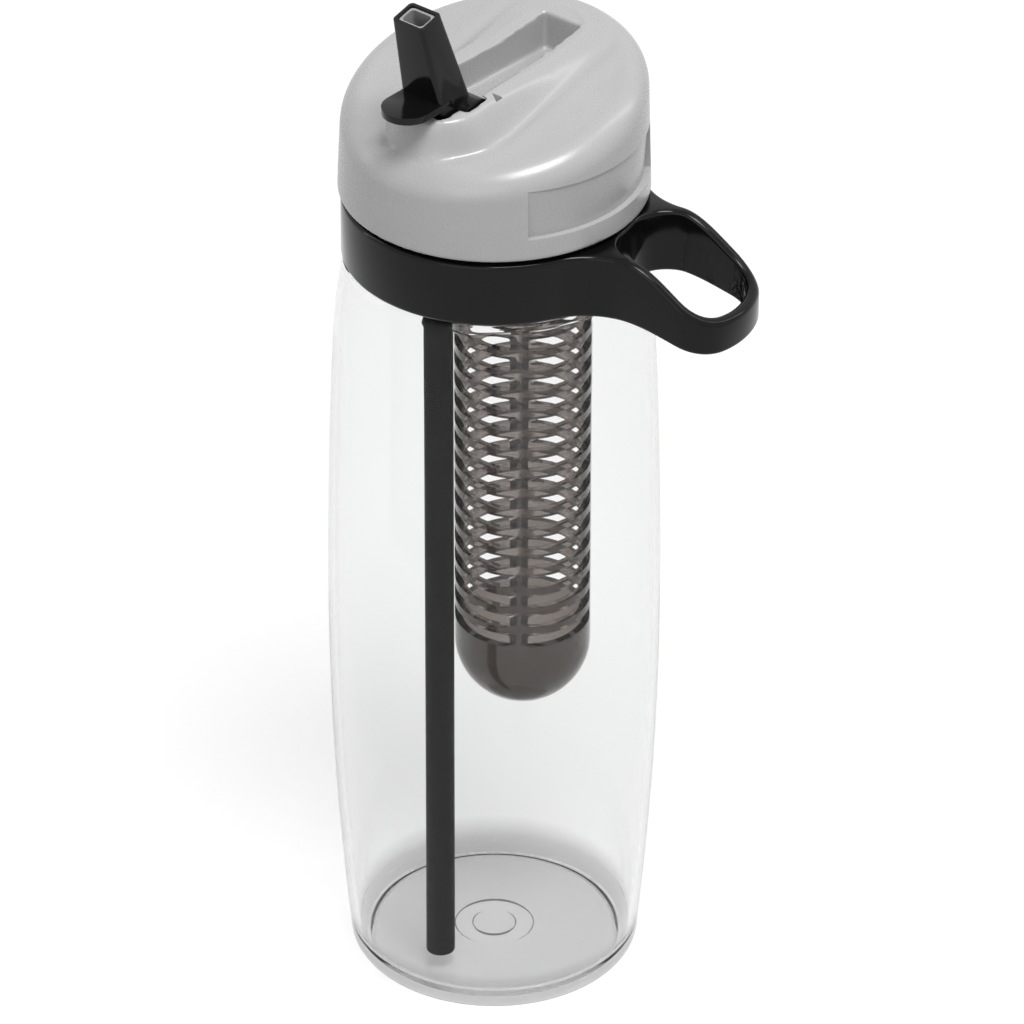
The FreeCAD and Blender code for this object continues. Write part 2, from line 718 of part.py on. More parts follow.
def make_spout():
    body = new_body("flip_spout")
    base = base_sketch(body, "spout_base", "0", "spout_base_rise")
    mouth = mouth_sketch(body, "spout_mouth", "0", "0")
    lofted(body, "AdditiveLoft", "spout_blade", base, mouth)
    drum = circles(body, "drum_side", "YZ_Plane", [("0", "0", "drum_radius")])
    extruded(body, "Pad", "drum", drum, "2 * drum_half", both_sides=True)
    pins = circles(body, "pin_side", "YZ_Plane", [("0", "0", "pin_radius")])
    extruded(body, "Pad", "pins", pins, "2 * (drum_half + pin_length)", both_sides=True)
    tab_plan = outline(body, "tab_plan", "XY_Plane", [
        ("-tab_radius", "-tab_reach", "tab_radius", 1),
        ("0", "-tab_reach - tab_radius", "tab_radius", 1),
        ("tab_radius", "-tab_reach"),
        ("tab_radius", "-tab_root"),
        ("-tab_radius", "-tab_root"),
    ], "tab_rise")
    extruded(body, "Pad", "tab", tab_plan, "tab_thickness")
    bore_base = base_sketch(body, "bore_base", "spout_base_wall", "spout_bore_rise")
    bore_mouth = mouth_sketch(body, "bore_mouth", "mouth_wall", "0")
    lofted(body, "SubtractiveLoft", "bore", bore_base, bore_mouth)
    port = circles(body, "port_plan", "XY_Plane", [("0", "-port_forward", "port_radius")], "spout_bore_rise")
    extruded(body, "Pocket", "port", port, "spout_bore_rise + drum_radius + overrun")
    place(body, y="-pivot_forward", z="pivot_z")


def make_spout_liner():
    body = new_body("spout_liner")
    low = base_sketch(body, "tube_base", "spout_base_wall + tube_fit", "spout_bore_rise")
    high = mouth_sketch(body, "tube_mouth", "mouth_wall + tube_fit", "tube_inset")
    lofted(body, "AdditiveLoft", "tube", low, high)
    low = base_sketch(body, "way_base", "spout_base_wall + tube_fit + tube_wall", "spout_bore_rise")
    high = mouth_sketch(body, "way_mouth", "mouth_wall + tube_fit + tube_wall", "tube_inset")
    lofted(body, "SubtractiveLoft", "way", low, high)
    place(body, y="-pivot_forward", z="pivot_z")


def make_seal():
    body = new_body("spout_seal")
    turned(body, "Revolution", "seal_ring", [
        ("port_radius", "0"),
        ("seal_radius", "0"),
        ("seal_radius", "seal_height"),
        ("port_radius", "seal_height"),
    ])
    saddle = circles(body, "saddle_side", "YZ_Plane", [("port_forward", "pivot_rise", "drum_radius + seal_gap")])
    extruded(body, "Pocket", "saddle", saddle, "4 * seal_radius", both_sides=True)
    place(body, y="-seal_forward", z="land_z")


def make_gasket():
    body = new_body("lid_gasket")
    turned(body, "Revolution", "gasket_ring", [
        ("liner_radius + gasket_gap", "0"),
        ("cap_bore - gasket_gap", "0"),
        ("cap_bore - gasket_gap", "gasket_height"),
        ("liner_radius + gasket_gap", "gasket_height"),
    ])
    place(body, z="neck_top")


def make_liner():
    # modelled about the basket's axis, so that the collar is central
    body = new_body("lid_liner")
    plate = circles(body, "plate_plan", "XY_Plane", [("0", "-basket_back", "liner_radius")])
    extruded(body, "Pad", "plate", plate, "liner_plate")
    collar = circles(body, "collar_plan", "XY_Plane", [("0", "0", "collar_radius"), ("0", "0", "collar_bore")])
    extruded(body, "Pad", "collar", collar, "liner_z - collar_z", flip=True)
    groove = circles(body, "groove_plan", "XY_Plane", [("0", "0", "groove_radius")],
                     "lug_z + lug_height + collar_gap - liner_z")
    extruded(body, "Pocket", "groove", groove, "lug_height + 2 * collar_gap")
    entry_plan = outline(body, "entry_plan", "XY_Plane", [
        ("0", "-entry_half_width"),
        ("entry_x", "-entry_half_width", "groove_radius", 1),
        ("entry_x", "entry_half_width"),
        ("0", "entry_half_width"),
    ], "lug_z - liner_z", "basket_turn + entry_turn")
    entry = extruded(body, "Pocket", "entry", entry_plan, "collar_gap + collar_lip + overrun")
    repeat_round(body, "entries", entry, lug_count)
    stem = circles(body, "stem_plan", "XY_Plane", [("0", "-liner_forward", "stem_radius")])
    extruded(body, "Pad", "stem", stem, "stem_length", flip=True)
    way = circles(body, "stem_way", "XY_Plane", [("0", "-liner_forward", "stem_radius - stem_wall")],
                  "liner_plate + overrun")
    extruded(body, "Pocket", "stem_bore", way, "liner_plate + stem_length + 2 * overrun")
    vents = [("vent_side", "vent_y", "vent_stem_radius + vent_fit")]
    for turn in (0, 120, 240):
        vents.append(("vent_side + vent_hole_place * cos(%d)" % turn,
                      "vent_y + vent_hole_place * sin(%d)" % turn, "vent_hole_radius"))
    holes = circles(body, "vent_plan", "XY_Plane", vents, "liner_plate + overrun")
    extruded(body, "Pocket", "vents", holes, "liner_plate + 2 * overrun")
    place(body, y="basket_back", z="liner_z")


def make_vent():
    body = new_body("vent_valve")
    turned(body, "Revolution", "umbrella", [
        ("0", "-vent_disc"),
        ("vent_disc_radius / 2", "-vent_disc"),
        ("vent_disc_radius", "-vent_disc / 3"),
        ("vent_disc_radius", "0"),
        ("vent_stem_radius", "0"),
        ("vent_stem_radius", "liner_plate"),
        ("vent_bulb_radius", "liner_plate"),
        ("vent_stem_radius", "liner_plate + vent_bulb"),
        ("0", "liner_plate + vent_bulb"),
    ])
    place(body, x="vent_side", y="-vent_forward", z="liner_z")


def make_sleeve():
    body = new_body("straw_sleeve")
    step_z = "sleeve_length - straw_top_drop"
    turned(body, "Revolution", "sleeve", [
        ("sleeve_bore", "0"),
        ("sleeve_radius", "0"),
        ("sleeve_radius", "sleeve_length"),
        ("stem_radius + sleeve_fit", "sleeve_length"),
        ("stem_radius + sleeve_fit", step_z),
        ("sleeve_bore", step_z),
    ])
    place(body, y="-straw_forward", z="liner_z - sleeve_length")


def make_straw():
    body = new_body("straw")
    turned(body, "Revolution", "tube", [
        ("straw_radius - straw_wall", "0"),
        ("straw_radius", "0"),
        ("straw_radius", "straw_top - straw_z"),
        ("straw_radius - straw_wall", "straw_top - straw_z"),
    ])
    place(body, y="-straw_forward", z="straw_z")


def make_basket():
    body = new_body("infuser_basket")
    turned(body, "Revolution", "cup", [
        ("0", "0", "basket_radius", 1),
        ("basket_radius", "basket_radius"),
        ("basket_radius", "basket_length"),
        ("basket_radius - basket_wall", "basket_length"),
        ("basket_radius - basket_wall", "basket_radius", "basket_radius - basket_wall", -1),
        ("0", "basket_wall"),
    ])
    lug_plan = outline(body, "lug_plan", "XY_Plane", [
        ("basket_radius - basket_wall / 2", "-lug_half_width"),
        ("lug_x", "-lug_half_width", "lug_radius", 1),
        ("lug_x", "lug_half_width"),
        ("basket_radius - basket_wall / 2", "lug_half_width"),
    ], "lug_z - basket_z")
    lug = extruded(body, "Pad", "lug", lug_plan, "lug_height")
    repeat_round(body, "lugs", lug, lug_count)
    slot_side = outline(body, "slot_side", "YZ_Plane", [
        ("-slot_half_width", "slot_start"),
        ("slot_half_width", "slot_start"),
        ("slot_half_width", "slot_start + slot_height"),
        ("-slot_half_width", "slot_start + slot_height"),
    ])
    slot = extruded(body, "Pocket", "slot", slot_side, "basket_radius + overrun", flip=True)
    slots = body.newObject("PartDesign::MultiTransform", "slots")
    slots.Originals = [slot]
    rows = doc.addObject("PartDesign::LinearPattern", "slot_rows")
    rows.Direction = (origin_feature(body, "Z_Axis"), [""])
    rows.Mode = "Spacing"
    bind(rows, "Offset", "slot_pitch")
    rows.Occurrences = slot_rows
    columns = doc.addObject("PartDesign::PolarPattern", "slot_columns")
    columns.Axis = (origin_feature(body, "Z_Axis"), [""])
    columns.Angle = 360
    columns.Occurrences = slot_columns
    slots.Transformations = [rows, columns]
    body.Tip = slots
    doc.recompute()
    place(body, y="basket_back", z="basket_z", turn="basket_turn")


make_bottle()
make_band()
make_cap()
make_spout()
make_spout_liner()
make_seal()
make_gasket()
make_liner()
make_vent()
make_sleeve()
make_straw()
make_basket()
doc.recompute()

for thing in doc.Objects:
    if "Invalid" in thing.State or "Error" in thing.State:
        raise RuntimeError("%s is %s" % (thing.Name, thing.State))
for body in parts:
    shape = body.Shape
    if shape.isNull() or not shape.isValid() or len(shape.Solids) != 1:
        raise RuntimeError(body.Label + " is not one sound solid")

os.makedirs("parts", exist_ok=True)
for body in parts:
    body.Shape.exportStep("parts/%s.step" % body.Label)
    box = body.Shape.optimalBoundingBox()
    print("%-15s %8.0f mm3  X %7.2f %7.2f  Y %7.2f %7.2f  Z %7.2f %7.2f" % (
        body.Label, body.Shape.Volume, box.XMin, box.XMax, box.YMin, box.YMax, box.ZMin, box.ZMax))
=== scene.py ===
import bpy
import bmesh
import json
from math import asin, atan2, cos, pi, radians, sin, sqrt, tan
from mathutils import Matrix, Vector


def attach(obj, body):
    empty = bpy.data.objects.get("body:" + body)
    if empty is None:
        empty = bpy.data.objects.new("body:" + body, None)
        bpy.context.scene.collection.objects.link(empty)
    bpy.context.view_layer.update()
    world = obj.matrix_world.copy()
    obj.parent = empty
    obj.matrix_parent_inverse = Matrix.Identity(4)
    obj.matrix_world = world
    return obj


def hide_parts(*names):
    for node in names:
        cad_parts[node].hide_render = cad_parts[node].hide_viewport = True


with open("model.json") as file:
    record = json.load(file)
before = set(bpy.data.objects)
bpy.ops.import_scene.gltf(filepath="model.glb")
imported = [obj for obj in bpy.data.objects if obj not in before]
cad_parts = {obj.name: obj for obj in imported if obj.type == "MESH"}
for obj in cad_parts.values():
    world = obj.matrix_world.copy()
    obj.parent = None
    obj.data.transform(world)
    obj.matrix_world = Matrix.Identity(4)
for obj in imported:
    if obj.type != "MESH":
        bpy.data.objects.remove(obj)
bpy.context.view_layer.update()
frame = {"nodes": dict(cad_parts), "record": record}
nodes = frame["nodes"]
scene = bpy.context.scene
scene.view_settings.view_transform = "Standard"
print("frame loaded:", len(nodes), "nodes")

mm = 0.001


# shader maths: a wrapped socket takes part in Python expressions
class Wire:
    def __init__(self, finish, socket):
        self.finish = finish
        self.socket = socket

    def calculate(self, operation, first, second):
        return self.finish.node("Math", {"operation": operation}, {0: first, 1: second})

    def __add__(self, other):
        return self.calculate("ADD", self, other)

    def __radd__(self, other):
        return self.calculate("ADD", other, self)

    def __sub__(self, other):
        return self.calculate("SUBTRACT", self, other)

    def __rsub__(self, other):
        return self.calculate("SUBTRACT", other, self)

    def __mul__(self, other):
        return self.calculate("MULTIPLY", self, other)

    def __rmul__(self, other):
        return self.calculate("MULTIPLY", other, self)


class Finish:
    def __init__(self, tree):
        self.tree = tree
        tree.nodes.clear()

    def node(self, kind, settings=None, sockets=None, out=0):
        made = self.tree.nodes.new("ShaderNode" + kind)
        for name, setting in (settings or {}).items():
            setattr(made, name, setting)
        for name, given in (sockets or {}).items():
            if isinstance(given, Wire):
                self.tree.links.new(given.socket, made.inputs[name])
            else:
                made.inputs[name].default_value = given
        return Wire(self, made.outputs[out]) if made.outputs else made

    def surface(self, shader, volume=None):
        sockets = {"Surface": shader}
        if volume:
            sockets["Volume"] = volume
        self.node("OutputMaterial", None, sockets)


def grey(level):
    return (level, level, level, 1.0)


def newMaterial(name):
    material = bpy.data.materials.new(name)
    material.use_nodes = True
    return material, Finish(material.node_tree)


def mouldedPlastic(name, dark, light, roughness, grain, relief, gloss=0.5, patch=60.0, fineSpread=0.10,
                   patchSpread=0.06):
    # faint cloudy tone, fine spark-eroded grain and uneven gloss
    material, finish = newMaterial(name)
    place = finish.node("TexCoord", out=3)
    cloud = finish.node("TexNoise", None, {"Vector": place, "Scale": patch, "Detail": 3.0})
    fine = finish.node("TexNoise", None, {"Vector": place, "Scale": grain, "Detail": 2.0})
    colour = finish.node("Mix", {"data_type": "RGBA"}, {0: cloud, 6: dark, 7: light}, 2)
    bump = finish.node("Bump", None, {"Height": fine, "Strength": relief, "Distance": 0.0001})
    shader = finish.node("BsdfPrincipled", None, {
        "Base Color": colour,
        "Roughness": roughness + (fine - 0.5) * fineSpread + (cloud - 0.5) * patchSpread,
        "Specular IOR Level": gloss, "Normal": bump})
    finish.surface(shader)
    return material


def clearPlastic(name, tint, thickBaseShade, shade, wave, bend, gloss, murk, depth, baseShadeTop=0.0045, tintFrom=0.011):
    # refracts for the eye, lets lamp light straight through, darkens with depth
    # below a set height near the floor it takes a darker base tint, partly for its heavy base and partly
    # painted shade of the floor under it, above tintFrom its own
    material, finish = newMaterial(name)
    place = finish.node("TexCoord", out=3)
    flow = finish.node("TexNoise", None, {"Vector": place, "Scale": 14.0, "Detail": 1.0})
    bump = finish.node("Bump", None, {"Height": flow, "Strength": wave, "Distance": 0.001})
    height = finish.node("SeparateXYZ", None, {"Vector": place}, 2)
    rise = finish.node("MapRange", None, {"Value": height, "From Min": baseShadeTop, "From Max": tintFrom})
    # darker base tint low down: partly the heavy base, partly painted shade under the bottle
    colour = finish.node("Mix", {"data_type": "RGBA"}, {0: rise, 6: thickBaseShade, 7: tint}, 2)
    wall = finish.node("BsdfPrincipled", None, {
        "Base Color": colour, "Roughness": flow * 0.01, "IOR": bend,
        "Specular IOR Level": gloss, "Transmission Weight": 1.0, "Normal": bump})
    through = finish.node("BsdfTransparent", None, {"Color": shade})
    shadowRay = finish.node("LightPath", out=1)
    body = finish.node("VolumeAbsorption", None, {"Color": murk, "Density": depth})
    finish.surface(finish.node("MixShader", None, {0: shadowRay, 1: wall, 2: through}), body)
    return material


def softSilicone(name, colour, cloudy):
    material, finish = newMaterial(name)
    place = finish.node("TexCoord", out=3)
    cloud = finish.node("TexNoise", None, {"Vector": place, "Scale": 220.0, "Detail": 2.0})
    tone = finish.node("Mix", {"data_type": "RGBA"}, {0: cloud, 6: colour, 7: cloudy}, 2)
    shader = finish.node("BsdfPrincipled", None, {
        "Base Color": tone, "Roughness": 0.42 + cloud * 0.1, "Subsurface Weight": 0.15,
        "Subsurface Radius": (0.004, 0.004, 0.004), "Transmission Weight": 0.15})
    finish.surface(shader)
    return material


smoke = (0.93, 0.91, 0.90, 1.0)
finishes = {
    # the bottle's grey base tint is partly its heavy base and partly painted shade of the floor under it
    "clear_body": clearPlastic("clearBottle", tint=(0.985, 0.988, 0.988, 1.0), thickBaseShade=grey(0.60),
                               shade=grey(0.95), wave=0.004, bend=1.22, gloss=0.3, murk=grey(0.45), depth=46.0),
    "black_band": mouldedPlastic("blackBand", dark=grey(0.003), light=grey(0.005), roughness=0.13,
                                 grain=2600.0, relief=0.01, gloss=0.18),
    "grey_lid": mouldedPlastic("greyLid", dark=grey(0.40), light=grey(0.43), roughness=0.27,
                               grain=3000.0, relief=0.02, gloss=0.6),
    "black_spout": mouldedPlastic("blackSpout", dark=grey(0.003), light=grey(0.006), roughness=0.12,
                                  grain=3000.0, relief=0.01, gloss=0.22),
    "clear_silicone": softSilicone("paleSilicone", colour=grey(0.42), cloudy=grey(0.36)),
    "white_liner": mouldedPlastic("paleLiner", dark=grey(0.44), light=grey(0.50), roughness=0.4,
                                  grain=2600.0, relief=0.04),
    "black_straw": mouldedPlastic("blackStraw", dark=grey(0.003), light=grey(0.005), roughness=0.40,
                                  grain=2600.0, relief=0.0, gloss=0.03),
    "smoked_basket": clearPlastic("smokedBasket", tint=smoke, thickBaseShade=smoke, shade=(0.5, 0.46, 0.44, 1.0),
                                  wave=0.0, bend=1.45, gloss=0.5, murk=(0.33, 0.27, 0.23, 1.0), depth=1080.0),
}
slotOf = {part["node"]: part["material_slot"] for part in frame["record"]["subparts"]}
for name, node in nodes.items():
    node.data.materials.clear()
    node.data.materials.append(finishes[slotOf[name]])
print("finishes set")


def eased(share):
    share = min(1.0, max(0.0, share))
    return share * share * (3 - 2 * share)


def arcPoints(start, end, radius, side, steps):
    # points after start on an arc that turns to the left (1) or the right (-1) of the way
    first, last = Vector(start), Vector(end)
    chord = last - first
    rise = sqrt(max(0.0, radius ** 2 - chord.length_squared / 4))
    centre = (first + last) / 2 + Vector((-chord.y, chord.x)).normalized() * rise * side
    turn = 2 * asin(min(1.0, chord.length / 2 / radius)) * side
    arm = first - centre
    return [tuple(centre + Matrix.Rotation(turn * step / steps, 2) @ arm) for step in range(1, steps + 1)]


def softCorners(corners, steps=4):
    # corners are (x, y) or (x, y, round); the ends of an open line are never rounded
    line = []
    for index, corner in enumerate(corners):
        if len(corner) == 2:
            line.append(tuple(corner))
            continue
        here = Vector(corner[:2])
        back = (Vector(corners[index - 1][:2]) - here).normalized()
        on = (Vector(corners[(index + 1) % len(corners)][:2]) - here).normalized()
        run = corner[2] / tan(back.angle(on) / 2)
        side = 1 if on.x * back.y - on.y * back.x > 0 else -1
        first, last = here + back * run, here + on * run
        line.append(tuple(first))
        line += arcPoints(first, last, corner[2], side, steps)
    return line


def wireLine(shape, points, closed):
    corners = [shape.verts.new(point) for point in points]
    following = corners[1:] + corners[:1] if closed else corners[1:]
    return corners, [shape.edges.new(pair) for pair in zip(corners, following)]


def tidied(shape):
    bmesh.ops.remove_doubles(shape, verts=shape.verts[:], dist=1e-6)
    bmesh.ops.recalc_face_normals(shape, faces=shape.faces[:])
    return shape


def closeEnds(shape, edges, made):
    # caps the first and the last section of a spin that doesn't meet itself
    last = [edge for edge in made["geom_last"] if isinstance(edge, bmesh.types.BMEdge)]
    bmesh.ops.contextual_create(shape, geom=edges)
    bmesh.ops.contextual_create(shape, geom=last)


def spunShape(profile, segments, closed=False, y=0.0, angle=2 * pi, start=0.0):
    # turns a profile of (radius, height) about an upright axis at y
    shape = bmesh.new()
    points, edges = wireLine(shape, [(r * mm * cos(start), y * mm + r * mm * sin(start), z * mm)
                                     for r, z in profile], closed)
    whole = angle >= 2 * pi
    made = bmesh.ops.spin(shape, geom=points + edges, cent=(0, y * mm, 0), axis=(0, 0, 1), angle=angle,
                          steps=segments, use_merge=whole)
    if not whole:
        closeEnds(shape, edges, made)
    return tidied(shape)


thread = {"lead": 5.0, "depth": 1.4, "sink": 0.6, "rootWide": 2.4, "crestWide": 1.2, "turnSteps": 72}


def addThread(shape, wall, outward, height, turns):
    # helical ridge that stands out from a wall (outward 1) or into its bore (-1), its ends closed
    steps = int(thread["turnSteps"] * turns)
    foot, crest = wall - outward * thread["sink"], wall + outward * thread["depth"]
    root, top = thread["rootWide"] / 2, thread["crestWide"] / 2
    profile = [(foot, -root), (crest, -top), (crest, top), (foot, root)]
    points, edges = wireLine(shape, [(r * mm, 0, (height + rise) * mm) for r, rise in profile], True)
    made = bmesh.ops.spin(shape, geom=points + edges, cent=(0, 0, 0), axis=(0, 0, 1), angle=2 * pi * turns,
                          dvec=(0, 0, thread["lead"] * turns / steps * mm), steps=steps)
    closeEnds(shape, edges, made)
    bmesh.ops.recalc_face_normals(shape, faces=shape.faces[:])


def extrudedShape(outline, low, high):
    shape = bmesh.new()
    corners = wireLine(shape, [(x * mm, y * mm, low * mm) for x, y in outline], True)[0]
    made = bmesh.ops.extrude_face_region(shape, geom=[shape.faces.new(corners)])
    raised = [vert for vert in made["geom"] if isinstance(vert, bmesh.types.BMVert)]
    bmesh.ops.translate(shape, verts=raised, vec=(0, 0, (high - low) * mm))
    return tidied(shape)


def turnUpright(shape, verts, angle):
    bmesh.ops.rotate(shape, verts=verts, cent=(0, 0, 0), matrix=Matrix.Rotation(angle, 3, "Z"))


def cylinderShape(radius, start, end, segments=48):
    # solid round bar between two points
    shape = bmesh.new()
    along = Vector(end) - Vector(start)
    place = (Matrix.Translation((Vector(start) + Vector(end)) / 2 * mm)
             @ along.to_track_quat("Z", "Y").to_matrix().to_4x4())
    bmesh.ops.create_cone(shape, cap_ends=True, segments=segments, radius1=radius * mm, radius2=radius * mm,
                          depth=along.length * mm, matrix=place)
    return shape


def crossBar(radius, half, y, z, segments):
    # round bar from side to side
    return cylinderShape(radius, (-half, y, z), (half, y, z), segments)


def newObject(name, shape):
    mesh = bpy.data.meshes.new(name)
    shape.to_mesh(mesh)
    shape.free()
    made = bpy.data.objects.new(name, mesh)
    scene.collection.objects.link(made)
    return made


def settle(piece):
    # makes what the modifiers give the piece's own mesh
    shaped = bpy.data.meshes.new_from_object(piece.evaluated_get(bpy.context.evaluated_depsgraph_get()))
    piece.modifiers.clear()
    piece.data = shaped


def carve(piece, shape, operation="DIFFERENCE"):
    tool = newObject(piece.name + "Tool", shape)
    change = piece.modifiers.new("carve", "BOOLEAN")
    change.object = tool
    change.operation = operation
    change.solver = "EXACT"
    settle(piece)
    bpy.data.objects.remove(tool)


def soften(piece, voxel, rounds):
    # one even skin over the whole piece, with its edges eased
    skin = piece.modifiers.new("skin", "REMESH")
    skin.mode = "VOXEL"
    skin.voxel_size = voxel * mm
    ease = piece.modifiers.new("ease", "SMOOTH")
    ease.factor = 0.5
    ease.iterations = rounds
    settle(piece)


def finishPiece(piece, node, body, crease=35.0):
    piece.data.shade_smooth()
    piece.data.set_sharp_from_angle(angle=radians(crease))
    piece.data.materials.clear()
    piece.data.materials.append(finishes[slotOf[node]])
    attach(piece, body)
    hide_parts(node)
    print(piece.name, "made:", len(piece.data.polygons), "faces")


bottle = {"neckRadius": 33.6, "neckBore": 31.4, "neckTop": 237.0, "neckRound": 0.6, "throatRound": 1.2,
          "beadLow": 219.6, "beadHeight": 220.3, "beadTop": 221.0, "beadOut": 0.5, "beadRound": 0.3,
          "ledgeRadius": 37.0, "ledgeHeight": 201.9, "ledgeRound": 1.5,
          "shoulderRadius": 39.55, "shoulderHeight": 180.0, "shoulderArc": 138.0,
          "bellyRadius": 41.45, "bellyHeight": 104.0, "lowerArc": 1002.55, "upperArc": 1520.95,
          "footRadius": 36.55, "footRound": 5.0, "landRadius": 33.65, "landInner": 32.45, "landRound": 0.4,
          "baseRise": 1.6, "hollowRadius": 30.25, "hollowRound": 1.0,
          "gateInner": 5.5, "gateOuter": 10.0, "gateHeight": 2.5, "gateRound": 0.3, "gateEdge": 0.4,
          "wall": 1.9, "floorTop": 4.2, "floorRound": 4.0,
          "threadRise": 21.5, "threadTurns": 2.0, "segments": 224}


def makeBottle():
    b = bottle
    wall, neck, ledge = b["wall"], b["neckRadius"], b["ledgeHeight"]
    # outside, from the middle of the base up to the neck
    line = softCorners([(0, b["baseRise"]), (b["gateInner"], b["baseRise"], b["gateEdge"]),
                        (b["gateInner"], b["gateHeight"], b["gateRound"]),
                        (b["gateOuter"], b["gateHeight"], b["gateRound"]),
                        (b["gateOuter"], b["baseRise"], b["gateEdge"]),
                        (b["hollowRadius"], b["baseRise"], b["hollowRound"]),
                        (b["landInner"], 0, b["landRound"]), (b["landRadius"], 0)])
    line += arcPoints(line[-1], (b["footRadius"], b["footRound"]), b["footRound"], 1, 12)
    line += arcPoints(line[-1], (b["bellyRadius"], b["bellyHeight"]), b["lowerArc"], 1, 40)
    line += arcPoints(line[-1], (b["shoulderRadius"], b["shoulderHeight"]), b["upperArc"], 1, 28)
    line += arcPoints(line[-1], (b["ledgeRadius"], ledge - b["ledgeRound"]), b["shoulderArc"], 1, 14)
    line += arcPoints(line[-1], (b["ledgeRadius"] - b["ledgeRound"], ledge), b["ledgeRound"], 1, 6)
    line += softCorners([line[-1], (neck, ledge, b["neckRound"]), (neck, b["beadLow"]),
                         (neck + b["beadOut"], b["beadHeight"], b["beadRound"]), (neck, b["beadTop"]),
                         (neck, b["neckTop"], b["neckRound"]), (b["neckBore"], b["neckTop"], b["neckRound"]),
                         (b["neckBore"], ledge - wall, b["throatRound"]), (neck, ledge - wall)])[1:]
    # inside, back down to the floor
    ease, floor, inset = b["ledgeRound"], b["floorTop"], b["floorRound"]
    foot = b["footRadius"] - wall
    line += arcPoints(line[-1], (b["ledgeRadius"] - wall, ledge - wall - ease), ease, -1, 6)
    line += arcPoints(line[-1], (b["shoulderRadius"] - wall, b["shoulderHeight"]),
                      b["shoulderArc"] - wall, -1, 14)
    line += arcPoints(line[-1], (b["bellyRadius"] - wall, b["bellyHeight"]), b["upperArc"] - wall, -1, 28)
    line += arcPoints(line[-1], (foot, floor + inset), b["lowerArc"] - wall, -1, 40)
    line += arcPoints(line[-1], (foot - inset, floor), inset, -1, 10)
    line.append((0, floor))
    shape = spunShape(line, b["segments"])
    addThread(shape, neck, 1, ledge + b["threadRise"], b["threadTurns"])
    finishPiece(newObject("clearBottle", shape), "bottle_body", "bottle")


lid = {"rimRadius": 38.1, "crownRadius": 37.4, "rim": 220.6, "rimRound": 0.5, "crown": 249.2,
       "crownRound": 6.4, "slope": 0.22, "slopeFrom": 5.0, "bore": 35.5, "boreLow": 210.0, "land": 238.6,
       # the spout's platform, its nose in front, its sides and the dishes beside it
       "platform": 253.6, "platformHalf": 10.2, "tail": 21.0, "tailRise": 0.12, "tailStart": 8.0,
       "nose": -19.6, "noseFall": 0.10, "noseStart": -14.0, "noseFlank": 4.8, "noseBlend": 8.0,
       "flank": 7.2, "flankPower": 1.3, "swell": 1.6, "swellReach": 11.0, "liftFrom": 0.5, "rimFade": 36.5,
       "fadeWidth": 4.0, "bead": 0.5, "beadInset": 1.6, "beadHalf": 1.8,
       "groove": 0.4, "grooveInset": 1.2, "grooveHalf": 3.0,
       "dish": 0.35, "dishGap": 2.0, "dishBlend": 4.0, "dishEdge": 33.6, "dishFade": 5.0,
       # what is cut into it
       "recess": [(-7.0, -27.4, 2.5), (7.0, -27.4, 2.5), (7.0, -12.0), (5.93, 12.6), (6.53, 12.6),
                  (6.0, 25.5, 0.6), (-5.4, 25.5, 0.6), (-7.0, -12.0)],
       "recessFloor": 245.5, "cutTop": 262.0, "drumGap": 0.4, "pinFit": 0.05,
       "notchTip": 8.9, "notchTipY": -11.5, "notchOut": 11.3, "notchFront": -12.8, "notchBack": -10.3,
       "notchFloor": 251.6, "gripLow": 226.3, "gripTop": 239.2, "gripDeep": 36.4, "gripShallow": 37.1,
       "gripOut": 43.0, "gripHalf": 37.6, "hollowHalf": 15.0, "hollowMiddle": 18.5, "hollowReach": 5.5,
       "hollowWall": 1.9, "hollowUnder": 1.0, "seatRadius": 4.6, "seatY": -19.6, "seatLow": 237.0,
       "seatTop": 244.7, "airRadius": 0.6, "airHeight": 246.7, "airEnd": 13.6,
       "threadHeight": 225.9, "threadTurns": 1.0,
       "skin": 0.46, "skinRounds": 3, "segments": 260, "rings": 64, "sideSteps": 20}


def crownLift(x, y, height):
    # how far the crown rises to the spout's platform, dips at its foot or sinks in the dishes beside it
    past = max(0.0, lid["nose"] - y) + max(0.0, y - lid["tail"])
    out = sqrt(x * x + past * past) - lid["platformHalf"]
    radius = sqrt(x * x + y * y)
    top = lid["platform"] + lid["tailRise"] * max(0.0, y - lid["tailStart"])
    top -= lid["noseFall"] * max(0.0, lid["noseStart"] - y)
    bead = lid["bead"] * (1 - eased(abs(out + lid["beadInset"]) / lid["beadHalf"]))
    flank = lid["flank"] + (lid["noseFlank"] - lid["flank"]) * eased((lid["nose"] - y) / lid["noseBlend"])
    lift = (max(0.0, top - height) + bead) * (1 - eased(out / flank)) ** lid["flankPower"]
    front = eased((lid["nose"] + lid["noseBlend"] - y) / lid["noseBlend"])
    lift = max(lift, lid["swell"] * front * (1 - eased(out / lid["swellReach"])))
    lift *= eased((lid["rimFade"] - radius) / lid["fadeWidth"])
    groove = lid["groove"] * (1 - eased(abs(out - flank + lid["grooveInset"]) / lid["grooveHalf"]))
    dish = lid["dish"] * eased((out - flank - lid["dishGap"]) / lid["dishBlend"])
    return lift - (groove + dish) * eased((lid["dishEdge"] - radius) / lid["dishFade"])


def hollowShape(side):
    # space under the crown, which lets air from the vent to the recess
    shape = bmesh.new()
    bmesh.ops.create_cube(shape, size=2.0)
    for vert in shape.verts:
        x = side * (lid["hollowMiddle"] + lid["hollowReach"] * vert.co.x)
        y = lid["hollowHalf"] * vert.co.y
        roof = lid["crown"] - lid["hollowWall"] + lid["slope"] * y
        vert.co = Vector((x, y, roof if vert.co.z > 0 else lid["land"] - lid["hollowUnder"])) * mm
    return tidied(shape)


